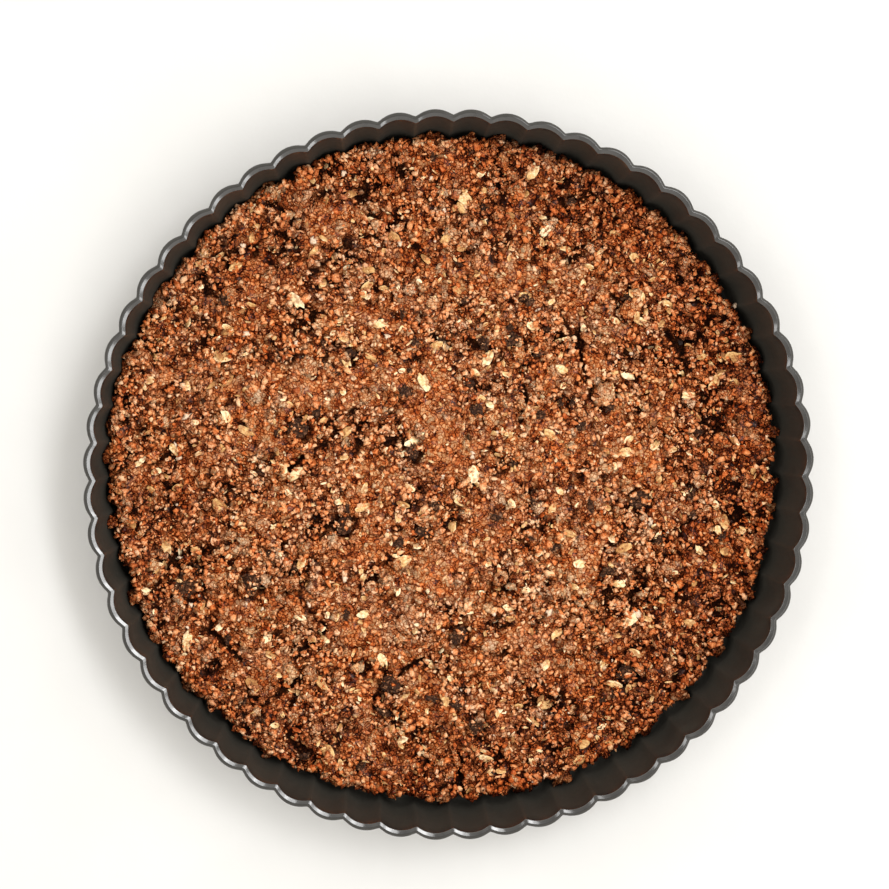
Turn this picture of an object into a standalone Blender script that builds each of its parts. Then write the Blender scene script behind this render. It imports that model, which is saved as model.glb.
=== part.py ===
"""A chocolate oat tart shell in its fluted tin, in metres, +Z up.

The origin is the middle of the tin's underside. +Y is the top of the photograph, which looks down on the tart.
"""

import math
import random

import bmesh
import bpy
from mathutils import Euler, Matrix, Vector, noise
from mathutils.bvhtree import BVHTree
from mathutils.geometry import delaunay_2d_cdt

# The tin: a pressed steel sheet with a fluted, flared wall and a rolled rim.
RIM_DIAMETER = 0.280
TIN_HEIGHT = 0.030
FLUTES = 60
FLUTE_DEPTH = 0.0025
WALL_FLARE = math.radians(10)
SHEET = 0.0008
BEAD_RADIUS = 0.0013
FLOOR_BEND = 0.0015
POINTS_PER_FLUTE = 4
TURN_STEPS = FLUTES * POINTS_PER_FLUTE

# The crust: a crumb floor with a low bank pressed up against the flutes.
CLEARANCE = 0.0003
CRUST_GAP = 0.0004
FLOOR_TOP = 0.0062
EDGE_TOP = 0.0106
EDGE_LEAN = 0.0016
BANK_WIDTH = 0.019
EDGE_ROUND = 0.0022
EDGE_SETBACK = 0.0012
FLUTE_FILL = 0.75
HIGH_SIDE = math.radians(140)
HIGH_SPOT = math.radians(165)
HIGH_SPOT_RISE = 0.0035
HIGH_SPOT_SPREAD = math.radians(13)
RAGGED = 0.0016
CRACK_DEPTH = 0.0025
CRACKS = [math.radians(a) for a in (272, 262, 226, 347, 33, 71, 118, 196)]

# The crumb relief, and the grid of points that carries it.
LATTICE = 0.0056
LATTICE_JITTER = 0.30
CREST_INSET = 0.0034
FIRST_INSET = 0.0070
LUMP_SIZE = 0.011
LUMP_HEIGHT = 0.0009
CRUMB_SIZE = 0.0045
CRUMB_HEIGHT = 0.0008

# What is large enough to show on the crumbs from a step away.
FLAKES = 45
FLAKE_LENGTH = (0.0065, 0.0100)
FLAKE_THICKNESS = 0.0016
CLUMPS = 24
CLUMP_WIDTH = (0.0050, 0.0080)
LUMP_FLATNESS = 0.45
STANDS_PROUD = 0.0011
SEED = 11

# The raisins and the biggest clumps, as x, y and width in millimetres.
BIG_LUMPS = [
    (-103, -42, 14), (-79, -43, 11), (-14, 9, 8), (-59, 18, 9), (-10, -23, 7), (-41, -20, 8),
    (76, -11, 9), (35, -10, 8), (72, -80, 9), (11, -100, 8), (4, -64, 8), (-23, -83, 9),
    (72, 64, 9), (99, -25, 13), (89, -38, 10), (61, 31, 10),
]


def clear_scene():
    """Removes whatever the file opened with."""
    for obj in list(bpy.data.objects):
        bpy.data.objects.remove(obj, do_unlink=True)


def collection(name):
    """A new collection in the scene."""
    made = bpy.data.collections.new(name)
    bpy.context.scene.collection.children.link(made)
    return made


def material(name, colour, roughness, metallic=0.0):
    """A Principled BSDF of one colour."""
    made = bpy.data.materials.new(name)
    made.use_nodes = True
    shader = made.node_tree.nodes["Principled BSDF"]
    shader.inputs["Base Color"].default_value = (*colour, 1.0)
    shader.inputs["Roughness"].default_value = roughness
    shader.inputs["Metallic"].default_value = metallic
    return made


def scallop(angle):
    """How far out a flute bulges at this angle, from 0 at the ridge between two flutes to 1 at its middle."""
    pitch = math.pi * RIM_DIAMETER / FLUTES
    radius = (pitch**2 / 4 + FLUTE_DEPTH**2) / (2 * FLUTE_DEPTH)
    across = (angle * FLUTES / math.tau % 1.0 - 0.5) * pitch
    chord = math.sqrt(radius**2 - pitch**2 / 4)
    return (math.sqrt(radius**2 - across**2) - chord) / FLUTE_DEPTH


def wall_ridge(z):
    """The wall's inner radius at height z, on a ridge between two flutes."""
    at_bead = RIM_DIAMETER / 2 - FLUTE_DEPTH - 2 * BEAD_RADIUS
    return at_bead - (TIN_HEIGHT - BEAD_RADIUS - z) * math.tan(WALL_FLARE)


def tin_profile():
    """Half of the tin's section at a ridge, from mid-floor over the rim to the middle of the underside."""
    bead_z = TIN_HEIGHT - BEAD_RADIUS
    bead_r = RIM_DIAMETER / 2 - FLUTE_DEPTH - BEAD_RADIUS
    bend_top = SHEET + FLOOR_BEND
    sheet_across = SHEET / math.cos(WALL_FLARE)
    under_bead = TIN_HEIGHT - 2.1 * BEAD_RADIUS
    floor_edge = wall_ridge(bend_top) - FLOOR_BEND
    bead = [
        (bead_r + BEAD_RADIUS * math.cos(a), bead_z + BEAD_RADIUS * math.sin(a))
        for a in map(math.radians, (180, 135, 90, 40, -20))
    ]
    return [
        (0.0, SHEET),
        (floor_edge, SHEET),
        (wall_ridge(bend_top), bend_top),
        *bead,
        (wall_ridge(under_bead) + sheet_across, under_bead),
        (wall_ridge(FLOOR_BEND) + sheet_across, FLOOR_BEND),
        (floor_edge + SHEET / 2, 0.0),
        (0.0, 0.0),
    ]


def turned(name, profile, steps):
    """A profile of (radius, height) points turned round Z by a Screw modifier, as a mesh object."""
    line = bpy.data.meshes.new(name)
    points = [(r, 0.0, z) for r, z in profile]
    line.from_pydata(points, [(i, i + 1) for i in range(len(points) - 1)], [])
    obj = bpy.data.objects.new(name, line)
    bpy.context.scene.collection.objects.link(obj)
    screw = obj.modifiers.new("turn", "SCREW")
    screw.steps = screw.render_steps = steps
    screw.use_merge_vertices = True
    screw.merge_threshold = 0.00001
    graph = bpy.context.evaluated_depsgraph_get()
    mesh = bpy.data.meshes.new_from_object(obj.evaluated_get(graph))
    bpy.data.objects.remove(obj)
    return bpy.data.objects.new(name, mesh)


def make_tin(parts):
    """The tin is turned round its section, and its flutes are then pushed out of the round wall."""
    tin = turned("tin", tin_profile(), TURN_STEPS)
    for vertex in tin.data.vertices:
        x, y, z = vertex.co
        radius = math.hypot(x, y)
        if radius > FLUTE_DEPTH:
            out = 1 + FLUTE_DEPTH * scallop(math.atan2(y, x)) / radius
            vertex.co = (x * out, y * out, z)
    tin.data.shade_smooth()
    tin.data.set_sharp_from_angle(angle=math.radians(40))
    tin.data.materials.append(material("dark_nonstick", (0.030, 0.026, 0.022), 0.38, 0.6))
    parts.objects.link(tin)
    return tin


def wobble(x, y, size, layer=0.0):
    """Smooth noise from about -1 to 1, with features of the given size."""
    return noise.noise(Vector((x / size, y / size, layer))) * 1.6


def away_from(angle, other):
    """The angle between two directions, from 0 to half a turn."""
    return abs((angle - other + math.pi) % math.tau - math.pi)


def edge_height(angle):
    """How high the crust's bank reaches at this angle."""
    x, y = math.cos(angle) * 6, math.sin(angle) * 6
    lean = EDGE_LEAN * math.cos(angle - HIGH_SIDE)
    spot = HIGH_SPOT_RISE * math.exp(-((away_from(angle, HIGH_SPOT) / HIGH_SPOT_SPREAD) ** 2))
    return EDGE_TOP + lean + spot + 0.0007 * wobble(x, y, 1.0, 3.0)


def raggedness(angle):
    """How far the crust's edge falls back from its smooth outline at this angle, cracks included."""
    x, y = math.cos(angle), math.sin(angle)
    bites = RAGGED * abs(wobble(x, y, 0.035, 5.0))
    setback = EDGE_SETBACK * (1 - math.cos(angle - HIGH_SIDE))
    half_step = math.pi / TURN_STEPS * 1.2
    return bites + setback + CRACK_DEPTH * any(away_from(angle, a) < half_step for a in CRACKS)


def outline(angle, z):
    """The crust's outer radius at this angle and height, pressed part of the way into each flute."""
    flute = FLUTE_DEPTH * scallop(angle) * FLUTE_FILL
    return wall_ridge(z) + flute - CRUST_GAP - raggedness(angle)


def smooth_step(t):
    """Eases from 0 to 1 as t does."""
    t = min(max(t, 0.0), 1.0)
    return t * t * (3 - 2 * t)


def top_height(x, y):
    """The height of the crumb surface, bank, lumps and crumbs together."""
    angle = math.atan2(y, x)
    high = edge_height(angle)
    inset = outline(angle, high) - math.hypot(x, y)
    bank = smooth_step(1 - (inset - CREST_INSET) / BANK_WIDTH)
    rounding = EDGE_ROUND * (1 - smooth_step(inset / CREST_INSET))
    relief = LUMP_HEIGHT * wobble(x, y, LUMP_SIZE) + CRUMB_HEIGHT * wobble(x, y, CRUMB_SIZE, 9.0)
    return FLOOR_TOP + (high - FLOOR_TOP) * bank - rounding + relief


def ring_points(inset):
    """One point for each step round the tin, this far inside the crust's outline."""
    angles = [math.tau * k / TURN_STEPS for k in range(TURN_STEPS)]
    radii = [outline(a, edge_height(a) - EDGE_ROUND) - inset for a in angles]
    return [Vector((r * math.cos(a), r * math.sin(a))) for r, a in zip(radii, angles)]


def lattice_points(rand):
    """A jittered triangular grid of points over the crust's floor."""
    row_step = LATTICE * math.sqrt(3) / 2
    rows = int(RIM_DIAMETER / 2 / row_step) + 1
    points = []
    for row in range(-rows, rows + 1):
        for column in range(-rows - 1, rows + 2):
            x = (column + 0.5 * (row % 2) + rand.uniform(-1, 1) * LATTICE_JITTER) * LATTICE
            y = row * row_step + rand.uniform(-1, 1) * LATTICE_JITTER * LATTICE
            angle = math.atan2(y, x)
            if math.hypot(x, y) < outline(angle, edge_height(angle)) - FIRST_INSET:
                points.append(Vector((x, y)))
    return points


def drop_rim(mesh, rim, z, gap):
    """Extrudes the crust's open rim down to height z and returns the new rim's edges."""
    made = bmesh.ops.extrude_edge_only(mesh, edges=rim)["geom"]
    for vertex in (v for v in made if isinstance(v, bmesh.types.BMVert)):
        angle = math.atan2(vertex.co.y, vertex.co.x)
        radius = outline(angle, z) - gap
        vertex.co = (radius * math.cos(angle), radius * math.sin(angle), z)
    return [e for e in made if isinstance(e, bmesh.types.BMEdge)]


def make_core():
    """The crust's body: a sheet of triangles over the points, its rim dropped to the tin's floor and closed."""
    rim = ring_points(0.0)
    points = rim + ring_points(CREST_INSET) + lattice_points(random.Random(SEED))
    flat, _, faces, *_ = delaunay_2d_cdt(points, [], [list(range(len(rim)))], 1, 1e-7)
    mesh = bmesh.new()
    corners = [mesh.verts.new((p.x, p.y, top_height(p.x, p.y))) for p in flat]
    for face in faces:
        mesh.faces.new([corners[i] for i in face])
    open_rim = [e for e in mesh.edges if e.is_boundary]
    waist = drop_rim(mesh, open_rim, SHEET + 2 * FLOOR_BEND, 0.0)
    foot = drop_rim(mesh, waist, SHEET + CLEARANCE, FLOOR_BEND)
    bmesh.ops.contextual_create(mesh, geom=foot)
    bmesh.ops.recalc_face_normals(mesh, faces=mesh.faces)
    data = bpy.data.meshes.new("crust")
    mesh.to_mesh(data)
    mesh.free()
    return bpy.data.objects.new("crust", data)


def even_spots(rand, count, reach):
    """Spots spread evenly over a disc by the sunflower rule, each moved a little."""
    golden = math.pi * (3 - math.sqrt(5))
    spots = []
    for k in range(count):
        radius = reach * math.sqrt((k + 0.5) / count) + rand.uniform(-1, 1) * 0.003
        angle = k * golden + rand.uniform(-1, 1) * 0.05
        spots.append((radius * math.cos(angle), radius * math.sin(angle)))
    return spots


def settle(obj, surface, spot, tilt, turn, sink):
    """Lays a piece on the crumbs, turned and tilted, with its middle this far below the surface."""
    hit = surface.ray_cast(Vector((*spot, TIN_HEIGHT)), Vector((0, 0, -1)))[0]
    turned_by = Euler((tilt[0], tilt[1], turn)).to_matrix().to_4x4()
    obj.data.transform(Matrix.Translation(hit - Vector((0, 0, sink))) @ turned_by)


def make_flake(rand, number):
    """A rolled oat: an eight-sided oval wafer."""
    length = rand.uniform(*FLAKE_LENGTH)
    width = length * rand.uniform(0.62, 0.78)
    mesh = bmesh.new()
    bmesh.ops.create_cone(mesh, cap_ends=True, segments=8, radius1=0.5, radius2=0.42, depth=1.0)
    bmesh.ops.scale(mesh, vec=(length, width, FLAKE_THICKNESS), verts=mesh.verts)
    data = bpy.data.meshes.new(f"flake_{number}")
    mesh.to_mesh(data)
    mesh.free()
    return bpy.data.objects.new(data.name, data)


def make_lump(rand, number, width):
    """A clump of crumbs or a raisin: a twenty-sided ball pressed flat, with its corners pushed about."""
    mesh = bmesh.new()
    bmesh.ops.create_icosphere(mesh, subdivisions=1, radius=0.5)
    for vertex in mesh.verts:
        vertex.co *= rand.uniform(0.85, 1.15)
    size = (width, width * rand.uniform(0.7, 0.95), width * LUMP_FLATNESS)
    bmesh.ops.scale(mesh, vec=size, verts=mesh.verts)
    data = bpy.data.meshes.new(f"lump_{number}")
    mesh.to_mesh(data)
    mesh.free()
    return bpy.data.objects.new(data.name, data)


def scatter(surface, toppings):
    """The big lumps where they belong, then flakes and clumps spread evenly, all set into the crumbs."""
    rand = random.Random(SEED + 1)
    reach = wall_ridge(FLOOR_TOP) - FIRST_INSET
    kinds = ["flake"] * FLAKES + ["clump"] * CLUMPS
    rand.shuffle(kinds)
    pieces = [("lump", (x / 1000, y / 1000), width / 1000) for x, y, width in BIG_LUMPS]
    for kind, spot in zip(kinds, even_spots(rand, len(kinds), reach)):
        pieces.append((kind, spot, rand.uniform(*CLUMP_WIDTH)))
    for number, (kind, spot, width) in enumerate(pieces):
        turn = rand.uniform(0, math.tau)
        tilt = (rand.uniform(-0.25, 0.25), rand.uniform(-0.25, 0.25))
        if kind == "flake":
            piece, sink = make_flake(rand, number), 0.0
        else:
            piece, sink = make_lump(rand, number, width), width * LUMP_FLATNESS / 2 - STANDS_PROUD
        settle(piece, surface, spot, tilt, turn, sink)
        toppings.objects.link(piece)


def fuse(body, toppings):
    """Joins the toppings to the body by one Boolean union, and removes their objects."""
    union = body.modifiers.new("toppings", "BOOLEAN")
    union.operation = "UNION"
    union.operand_type = "COLLECTION"
    union.collection = toppings
    union.solver = "MANIFOLD"
    graph = bpy.context.evaluated_depsgraph_get()
    joined = bpy.data.meshes.new_from_object(body.evaluated_get(graph))
    body.modifiers.remove(union)
    body.data = joined
    for obj in list(toppings.objects):
        bpy.data.objects.remove(obj)
    bpy.data.collections.remove(toppings)


def make_crust(parts):
    """The crust: its body with the largest flakes, clumps and raisins fused on."""
    crust = make_core()
    parts.objects.link(crust)
    shape = bmesh.new()
    shape.from_mesh(crust.data)
    surface = BVHTree.FromBMesh(shape)
    shape.free()
    toppings = collection("toppings")
    scatter(surface, toppings)
    fuse(crust, toppings)
    crust.data.materials.clear()
    crust.data.materials.append(material("cocoa_oat_crumb", (0.28, 0.105, 0.042), 0.85))
    return crust


def main():
    clear_scene()
    parts = collection("chocolate_tart")
    make_tin(parts)
    make_crust(parts)


main()
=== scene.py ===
# %% [markdown]
# # An oat and cocoa tart shell in its fluted tin
#
# This lesson dresses a plain solid model of a tart shell: a round fluted tin with a pressed crust of cocoa
# crumbs and rolled oats in it. Each solid is replaced by a finely made piece of the same form, because the
# looks of baked crumb are all in its small shapes. The solids' box is measured and printed first.

import math
import random

import bmesh
import bpy
import numpy as np
from mathutils import Euler, Matrix, Vector, noise


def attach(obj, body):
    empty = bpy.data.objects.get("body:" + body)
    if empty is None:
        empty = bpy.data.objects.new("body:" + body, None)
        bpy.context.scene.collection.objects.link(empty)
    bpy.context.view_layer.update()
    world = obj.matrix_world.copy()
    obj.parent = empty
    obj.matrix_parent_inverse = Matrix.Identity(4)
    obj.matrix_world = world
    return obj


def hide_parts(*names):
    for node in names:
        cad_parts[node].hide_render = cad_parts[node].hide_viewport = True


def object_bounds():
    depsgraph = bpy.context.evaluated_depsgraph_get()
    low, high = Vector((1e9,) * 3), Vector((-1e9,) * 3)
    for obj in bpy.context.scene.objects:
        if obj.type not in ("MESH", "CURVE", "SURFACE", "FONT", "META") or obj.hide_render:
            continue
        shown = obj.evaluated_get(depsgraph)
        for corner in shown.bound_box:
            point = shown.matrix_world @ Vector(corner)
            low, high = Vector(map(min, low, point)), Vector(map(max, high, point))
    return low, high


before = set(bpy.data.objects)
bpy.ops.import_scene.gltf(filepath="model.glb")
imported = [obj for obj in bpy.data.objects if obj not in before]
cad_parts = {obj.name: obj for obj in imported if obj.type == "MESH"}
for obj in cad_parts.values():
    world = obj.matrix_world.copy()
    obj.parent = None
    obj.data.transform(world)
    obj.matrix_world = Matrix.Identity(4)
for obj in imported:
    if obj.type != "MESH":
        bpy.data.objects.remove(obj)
cad_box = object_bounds()
box_mm = [[round(v * 1000, 1) for v in corner] for corner in cad_box]
print("solids:", sorted(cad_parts), "box in mm:", box_mm)

# %% [markdown]
# ## The camera
#
# The photograph looks almost straight down with a long lens. The wall of the tin shows a little more at the
# lower right than at the upper left, so the camera stands a little to the upper left of the tart. A camera
# that looks down has no natural "up", so its matrix is built from three directions, with the table's +Y up.

# %% Make the camera
CAMERA_AT = Vector((-0.06015, 0.06012, 0.780))
CAMERA_LOOKS_AT = Vector((-0.00341, 0.01303, 0.0287))
LENS = 80.22


def looking(at, target, up):
    """The matrix of something at one point that faces another, its top towards up."""
    back = (at - target).normalized()
    right = up.cross(back).normalized()
    above = back.cross(right)
    turned = Matrix((right, above, back)).transposed().to_4x4()
    return Matrix.Translation(at) @ turned


def add_object(name, data):
    """A new object in the scene."""
    made = bpy.data.objects.new(name, data)
    bpy.context.scene.collection.objects.link(made)
    return made


camera = add_object("camera", bpy.data.cameras.new("camera"))
camera.data.lens = LENS
camera.data.sensor_width = 36.0
camera.matrix_world = looking(CAMERA_AT, CAMERA_LOOKS_AT, Vector((0, 1, 0)))
bpy.context.scene.camera = camera
print("camera", [round(v, 3) for v in camera.location], "lens", LENS)

# %% [markdown]
# ## Writing materials as sums
#
# A material's pattern is arithmetic on numbers that change over the surface. Wiring each Add and Multiply
# node by hand hides the sum, so a small class, Tap, wraps a node's output and lets Python's own signs add
# the nodes. A Bench is one material being made: its node method adds any other node. A colour is given as
# its hexadecimal code, or as three linear values. The room's light is made on such a bench too.

# %% The workbench for materials
def linear(colour):
    """A colour's linear values, which nodes take, with full opacity."""
    if isinstance(colour, str):
        shares = [int(colour[i:i + 2], 16) / 255 for i in (0, 2, 4)]
        colour = [c / 12.92 if c <= 0.04045 else ((c + 0.055) / 1.055) ** 2.4 for c in shares]
    return (*colour, 1.0)


class Tap:
    """The output of a node. Arithmetic on it adds Math nodes."""

    def __init__(self, bench, socket):
        self.bench, self.socket = bench, socket

    def sum(self, operation, first, second):
        return self.bench.node("ShaderNodeMath", {"operation": operation}, {0: first, 1: second})

    def __add__(self, other):
        return self.sum("ADD", self, other)

    def __sub__(self, other):
        return self.sum("SUBTRACT", self, other)

    def __rsub__(self, other):
        return self.sum("SUBTRACT", other, self)

    def __mul__(self, other):
        return self.sum("MULTIPLY", self, other)

    __radd__ = __add__
    __rmul__ = __mul__


class Bench:
    """A material being made, or the world's light, with the shader and the space that it starts from."""

    def __init__(self, name, kind="materials", shader="Principled BSDF", space="Object"):
        self.made = getattr(bpy.data, kind).new(name)
        self.made.use_nodes = True
        self.tree = self.made.node_tree
        self.shader = self.tree.nodes[shader]
        self.place = self.node("ShaderNodeTexCoord", output=space)

    def plug(self, socket, value):
        """Links a tap to the socket, or sets the socket's own value."""
        if isinstance(value, Tap):
            self.tree.links.new(value.socket, socket)
        else:
            socket.default_value = value

    def node(self, kind, settings=None, sockets=None, output=0):
        """Adds a node: its settings first, then the values or links of its sockets."""
        made = self.tree.nodes.new(kind)
        for setting, value in (settings or {}).items():
            setattr(made, setting, value)
        for socket, value in (sockets or {}).items():
            self.plug(made.inputs[socket], value)
        return Tap(self, made.outputs[output])

    def noise(self, size, detail=2.0, roughness=0.5):
        """Smooth noise from 0 to 1, with features of this size in metres."""
        sockets = {"Vector": self.place, "Scale": 1 / size, "Detail": detail, "Roughness": roughness}
        return self.node("ShaderNodeTexNoise", None, sockets)

    def cells(self, size, feature="F1", output="Distance"):
        """Voronoi cells of this size in metres."""
        sockets = {"Vector": self.place, "Scale": 1 / size}
        return self.node("ShaderNodeTexVoronoi", {"feature": feature}, sockets, output)

    def vector(self, operation, first, second, output=0):
        """Arithmetic on two vectors."""
        return self.node("ShaderNodeVectorMath", {"operation": operation}, {0: first, 1: second}, output)

    def carried(self, name):
        """A number that the mesh carries at its points."""
        return self.node("ShaderNodeAttribute", {"attribute_name": name}, None, "Fac")

    def between(self, value, low, high, to_low=0.0, to_high=1.0):
        """Stretches the range from low to high over the range from to_low to to_high, and clamps it."""
        sockets = {"Value": value, "From Min": low, "From Max": high, "To Min": to_low, "To Max": to_high}
        return self.node("ShaderNodeMapRange", {"interpolation_type": "SMOOTHSTEP"}, sockets)

    def ramp(self, value, stops):
        """A colour for each value, from pairs of position and colour."""
        made = self.node("ShaderNodeValToRGB", None, {"Fac": value})
        elements = made.socket.node.color_ramp.elements
        while len(elements) < len(stops):
            elements.new(1.0)
        for element, (position, colour) in zip(elements, stops):
            element.position, element.color = position, linear(colour)
        return made

    def mix(self, share, first, second):
        """Blends two colours."""
        first, second = (c if isinstance(c, Tap) else linear(c) for c in (first, second))
        return self.node("ShaderNodeMix", {"data_type": "RGBA"}, {0: share, 6: first, 7: second}, 2)

    def bump(self, height, depth):
        """A bump of this depth in metres."""
        return self.node("ShaderNodeBump", None, {"Height": height, "Distance": depth})

    def topping(self, colour, grain, roughness, relief, depth, gleam=0.3):
        """The finish of a topping, whose roughness follows its grain."""
        return self.finish(Base_Color=colour, Roughness=self.between(grain, 0.3, 0.7, *roughness),
                           Normal=self.bump(relief, depth), Specular_IOR_Level=gleam)

    def finish(self, **sockets):
        """Plugs the shader's sockets, named with _ for a space, and returns what was made."""
        for name, value in sockets.items():
            self.plug(self.shader.inputs[name.replace("_", " ")], value)
        return self.made


print("workbench ready")

# %% [markdown]
# ## Light
#
# Two windows at the right give the light its direction: the shadow falls to the lower left. The nearer one is
# a wide strip. The glossy rim of the tin winds, so each flute mirrors it as a streak, where it faces the
# strip. A weaker strip at the left makes the short streaks on the other side, and lightens the shadow. The
# white room gives the rest, warmer. Its walls are brighter than its ceiling, so that the shadow beside the tin
# stays light while the flat crest of the rim, which mirrors the ceiling, stays dark. Its window side is
# brighter than its far side, which leaves the tin's right wall dark.

# %% Make the light
WINDOW_HEIGHT = math.radians(62)
WINDOW_AWAY = 1.3
WINDOWS = {
    "near_window": (math.radians(12), 1.65, 0.26, 7.6),
    "far_window": (math.radians(46), 0.40, 0.40, 3.0),
    "left_window": (math.radians(166), 0.55, 0.20, 1.6),
}
WALL_STRENGTH, CEILING_STRENGTH = 1.42, 0.60
CEILING_FROM, CEILING_TO = 0.80, 0.95
WINDOW_SIDE = Vector((0.92, 0.39, 0.0)) * 0.17
ROOM_COLOUR = (1.0, 0.955, 0.885, 1.0)


def window_lamp(name, at, wide, high, power):
    """An oblong area lamp that faces the tart."""
    lamp = bpy.data.lights.new(name, "AREA")
    lamp.shape = "RECTANGLE"
    lamp.size, lamp.size_y, lamp.energy = wide, high, power
    made = add_object(name, lamp)
    made.matrix_world = looking(at, Vector(), Vector((0, 0, 1)))
    return made


def out_from_tart(towards, height, distance):
    """The point at this direction round the tart, this angle above the table and this far away."""
    flat = math.cos(height) * distance
    return Vector((math.cos(towards) * flat, math.sin(towards) * flat, math.sin(height) * distance))


for name, (towards, wide, high, power) in WINDOWS.items():
    lamp = window_lamp(name, out_from_tart(towards, WINDOW_HEIGHT, WINDOW_AWAY), wide, high, power)
    print(name, "at", [round(v, 2) for v in lamp.location])

room = Bench("white_room", "worlds", "Background", "Generated")
upward = room.node("ShaderNodeSeparateXYZ", None, {0: room.place}, "Z")
walls = room.between(upward, CEILING_FROM, CEILING_TO, WALL_STRENGTH, CEILING_STRENGTH)
window_side = room.vector("DOT_PRODUCT", room.place, WINDOW_SIDE, 1)
bpy.context.scene.world = room.finish(Strength=walls + window_side, Color=ROOM_COLOUR)
bpy.context.scene.view_settings.view_transform = "Standard"

# %% [markdown]
# ## The table
#
# The tart stands on a plain pale surface. It is one large face with a very faint mottling, so that it does
# not look like paper.

# %% Lay the table
TABLE_HALF = 12.0
TABLE_GAP = 0.0001

bench = Bench("pale_plaster")
mottle = bench.between(bench.noise(0.09, 4.0), 0.35, 0.65)
plaster = bench.finish(
    Base_Color=bench.mix(mottle, (0.622, 0.625, 0.621), (0.650, 0.653, 0.649)),
    Roughness=0.85,
    Normal=bench.bump(bench.noise(0.03, 5.0), 0.0006),
)
table_mesh = bpy.data.meshes.new("table")
corners = [(x * TABLE_HALF, y * TABLE_HALF, -TABLE_GAP) for x, y in ((-1, -1), (1, -1), (1, 1), (-1, 1))]
table_mesh.from_pydata(corners, [], [(0, 1, 2, 3)])
table_mesh.materials.append(plaster)
table = add_object("table", table_mesh)
print("table", TABLE_HALF * 2, "m across")

# %% [markdown]
# ## From numbers to meshes
#
# Crumbs come in thousands, so each mesh is made from arrays of points and triangles in one go. A piece may
# carry numbers at its points, such as how light each crumb is, which its material reads back.

# %% A helper that makes a piece
def make_piece(name, points, triangles, material, carries=None, smooth=True):
    """A mesh piece in the tart, from arrays."""
    mesh = bpy.data.meshes.new(name)
    mesh.vertices.add(len(points))
    mesh.vertices.foreach_set("co", np.ascontiguousarray(points, np.float32).ravel())
    mesh.loops.add(len(triangles) * 3)
    mesh.loops.foreach_set("vertex_index", np.ascontiguousarray(triangles, np.int32).ravel())
    mesh.polygons.add(len(triangles))
    mesh.polygons.foreach_set("loop_start", np.arange(0, len(triangles) * 3, 3, dtype=np.int32))
    mesh.update(calc_edges=True)
    if smooth:
        mesh.shade_smooth()
    for label, values in (carries or {}).items():
        layer = mesh.attributes.new(label, "FLOAT", "POINT")
        layer.data.foreach_set("value", np.ascontiguousarray(values, np.float32))
    mesh.materials.append(material)
    made = add_object(name, mesh)
    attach(made, "root")
    print(name, len(points), "points", len(triangles), "triangles")
    return made


def join_rows(rows, count):
    """The triangles between rows of points that go round, each with this many points."""
    here = np.arange(count)
    after = (here + 1) % count
    strips = []
    for row in range(rows - 1):
        low, high = row * count, (row + 1) * count
        strips.append(np.stack([low + here, low + after, high + after], 1))
        strips.append(np.stack([low + here, high + after, high + here], 1))
    return np.concatenate(strips)


def fan(first, count, middle):
    """The triangles between a row of points that goes round and a point in its middle."""
    here = np.arange(count)
    return np.stack([first + here, first + (here + 1) % count, np.full(count, middle)], 1)


def across(radius, angles):
    """The x and y of places at these distances and directions from the middle of the tart."""
    return radius * np.cos(angles), radius * np.sin(angles)


def on_circle(radius, angles, z):
    """Points round the middle of the tart, at these distances, directions and heights."""
    return np.stack([*across(radius, angles), z + 0 * angles], 1)

# %% [markdown]
# ## The tin
#
# The tin is one sheet of thin steel, pressed into sixty half-round flutes. At the top it bends outward into a
# rim that slopes in a little, and its edge is rolled under. A section turned round the middle gives the
# wall, and each point is then pushed out by how far its flute bulges there. Fourteen points to a flute make
# its curve run clean in the highlights, and the ridge between two flutes has the round of a pressed bend.

# %% Shape the tin
RIM_RADIUS = 0.1399
TIN_HEIGHT = 0.030
FLUTES = 60
FLUTE_DEPTH = 0.0025
WALL_FLARE = math.radians(10)
SHEET = 0.0008
BEAD = 0.0013
FLOOR_BEND = 0.0015
RIDGE_ROUND = 0.00035
TURN_STEPS = FLUTES * 14
RIM_LEAN = 0.0003
FLUTE_PITCH = math.tau * 0.140 / FLUTES
FLUTES_START, FLUTES_GROW = 0.112, 0.010
RUBS = (0.0, 0.4, 1.0, 0.35, 0.0)
FOOT_IN = 0.0016
LEAN_START, LEAN_GROW = 0.018, 0.012
LIP_ROUND, LIP_RISE, LIP_TILT = 0.0004, 0.00047, 110


def scallop(angles):
    """How far out a flute bulges at these angles, from 0 at a ridge to 1 at its middle."""
    radius = (FLUTE_PITCH**2 / 4 + FLUTE_DEPTH**2) / (2 * FLUTE_DEPTH)
    aside = (angles * FLUTES / math.tau % 1.0 - 0.5) * FLUTE_PITCH
    return (np.sqrt(radius**2 - aside**2) - math.sqrt(radius**2 - FLUTE_PITCH**2 / 4)) / FLUTE_DEPTH


def wall_ridge(z):
    """The wall's inner radius at height z, on a ridge."""
    return RIM_RADIUS - FLUTE_DEPTH - 2 * BEAD - (TIN_HEIGHT - BEAD - z) * math.tan(WALL_FLARE)


def arc(middle, radius, start, end, count):
    """Points on an arc in the section, between two angles in degrees."""
    turns = np.radians(np.linspace(start, end, count))
    return [(middle[0] + radius * math.cos(t), middle[1] + radius * math.sin(t)) for t in turns]


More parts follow.
